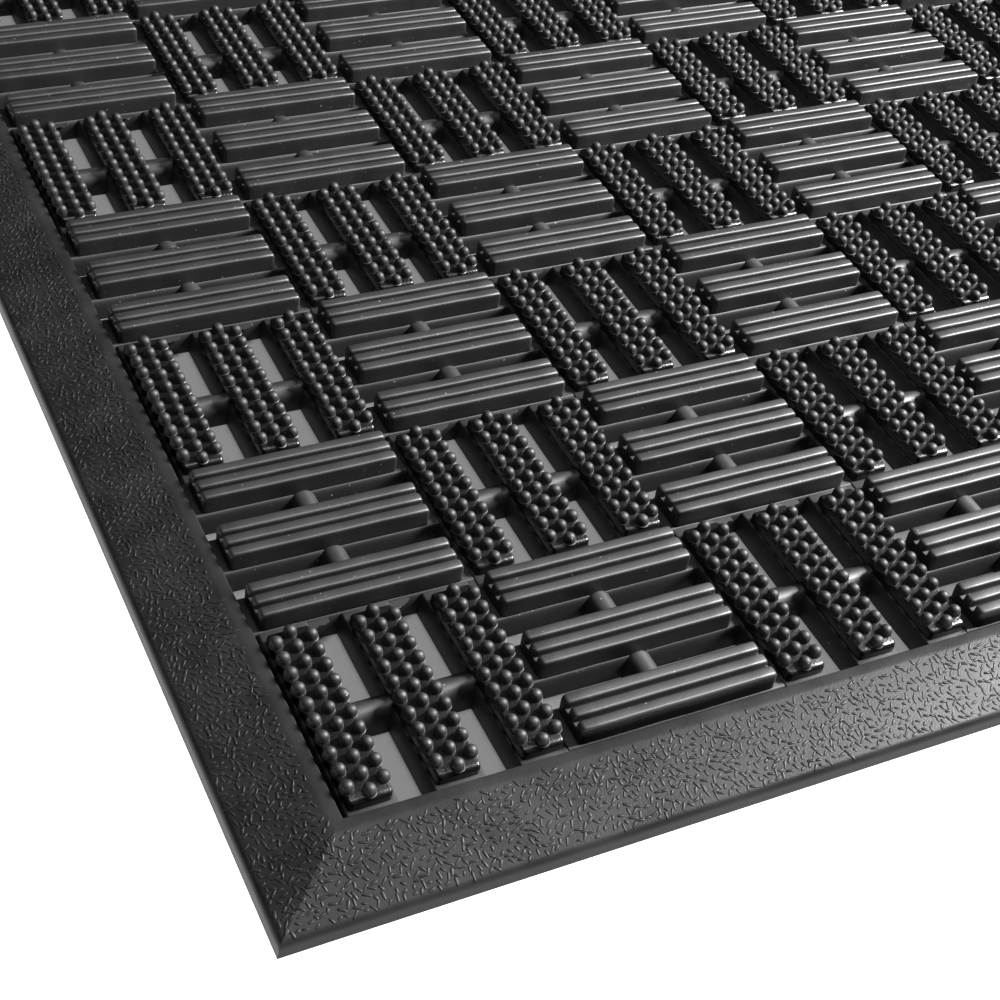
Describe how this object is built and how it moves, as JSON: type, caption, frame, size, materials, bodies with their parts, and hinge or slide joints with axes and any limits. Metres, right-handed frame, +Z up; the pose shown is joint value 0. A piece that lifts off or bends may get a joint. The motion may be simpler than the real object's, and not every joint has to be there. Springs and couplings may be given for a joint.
{
  "type": "door mat",
  "caption": "Rectangular moulded rubber scraper mat: an open basket weave of ridged and knobbed bars inside a sloping, grained border.",
  "frame": {"origin": "middle of the underside, on the floor", "axes": "+X along the mat's length, +Y to the back across its width, +Z up out of the tread"},
  "size_m": [0.77, 0.53, 0.012],
  "materials": {
    "weave_rubber": "glossy moulded black rubber, smooth from the mould",
    "border_rubber": "satin moulded black rubber with a raised dash grain"
  },
  "bodies": {
    "root": {"weave_module_r1_c1": "weave_rubber", "weave_module_r1_c2": "weave_rubber", "weave_module_r1_c3": "weave_rubber", "weave_module_r1_c4": "weave_rubber", "weave_module_r1_c5": "weave_rubber", "weave_module_r1_c6": "weave_rubber", "weave_module_r2_c1": "weave_rubber", "weave_module_r2_c2": "weave_rubber", "weave_module_r2_c3": "weave_rubber", "weave_module_r2_c4": "weave_rubber", "weave_module_r2_c5": "weave_rubber", "weave_module_r2_c6": "weave_rubber", "weave_module_r3_c1": "weave_rubber", "weave_module_r3_c2": "weave_rubber", "weave_module_r3_c3": "weave_rubber", "weave_module_r3_c4": "weave_rubber", "weave_module_r3_c5": "weave_rubber", "weave_module_r3_c6": "weave_rubber", "weave_module_r4_c1": "weave_rubber", "weave_module_r4_c2": "weave_rubber", "weave_module_r4_c3": "weave_rubber", "weave_module_r4_c4": "weave_rubber", "weave_module_r4_c5": "weave_rubber", "weave_module_r4_c6": "weave_rubber", "ramp_front": "border_rubber", "ramp_right": "border_rubber", "ramp_back": "border_rubber", "ramp_left": "border_rubber"}
  },
  "joints": []
}
